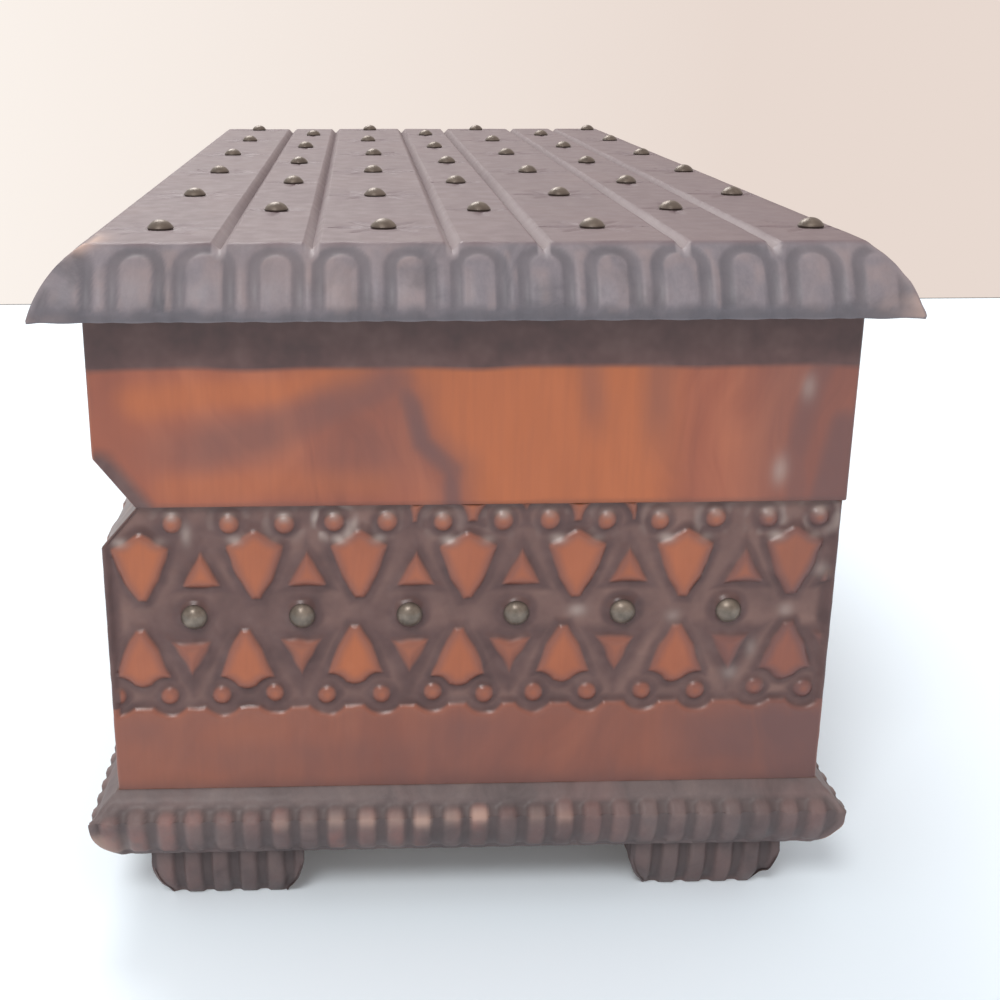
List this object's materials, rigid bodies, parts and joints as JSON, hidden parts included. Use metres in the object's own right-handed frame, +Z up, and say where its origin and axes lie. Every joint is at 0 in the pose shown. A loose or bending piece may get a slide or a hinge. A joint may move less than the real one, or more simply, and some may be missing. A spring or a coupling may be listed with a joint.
{
  "type": "jewelry box",
  "caption": "Carved wooden jewelry box with a deep hinged lid, brass-studded bands, a fluted base, block feet and a finger groove along the front.",
  "frame": {"origin": "middle of the footprint, on the surface that the feet stand on", "axes": "+X along the box, +Y towards the hinges at the back, +Z up; the front with the finger groove faces -Y"},
  "size_m": [0.3486, 0.1686, 0.1459],
  "materials": {
    "varnished_wood": "amber satin varnish over figured wood, with burned dark lines",
    "stained_wood": "dark brown stain, worn on the ridges",
    "aged_brass": "tarnished domed tacks and hardware",
    "lining_felt": "matt pressed felt"
  },
  "bodies": {
    "case": {"base_board": "stained_wood", "case_front_wall": "varnished_wood", "case_back_wall": "varnished_wood", "case_left_wall": "varnished_wood", "case_right_wall": "varnished_wood", "floor_lining": "lining_felt", "foot_front_left": "stained_wood", "foot_front_right": "stained_wood", "foot_back_left": "stained_wood", "foot_back_right": "stained_wood", "front_studs": "aged_brass", "back_studs": "aged_brass", "left_studs": "aged_brass", "right_studs": "aged_brass", "base_screws": "aged_brass", "left_hinge_case_leaf": "aged_brass", "right_hinge_case_leaf": "aged_brass", "left_hinge_pin": "aged_brass", "right_hinge_pin": "aged_brass", "case_hinge_screws": "aged_brass"},
    "lid": {"lid_board": "stained_wood", "lid_front_rail": "varnished_wood", "lid_back_rail": "varnished_wood", "lid_left_rail": "varnished_wood", "lid_right_rail": "varnished_wood", "lid_studs": "aged_brass", "left_hinge_lid_leaf": "aged_brass", "right_hinge_lid_leaf": "aged_brass", "lid_hinge_screws": "aged_brass"}
  },
  "joints": [
    {"name": "lid_hinge", "type": "hinge", "parent": "case", "child": "lid", "pos_m": [0, 0.0779, 0.0917], "axis": [-1, 0, 0], "range_deg": [0, 105]}
  ]
}
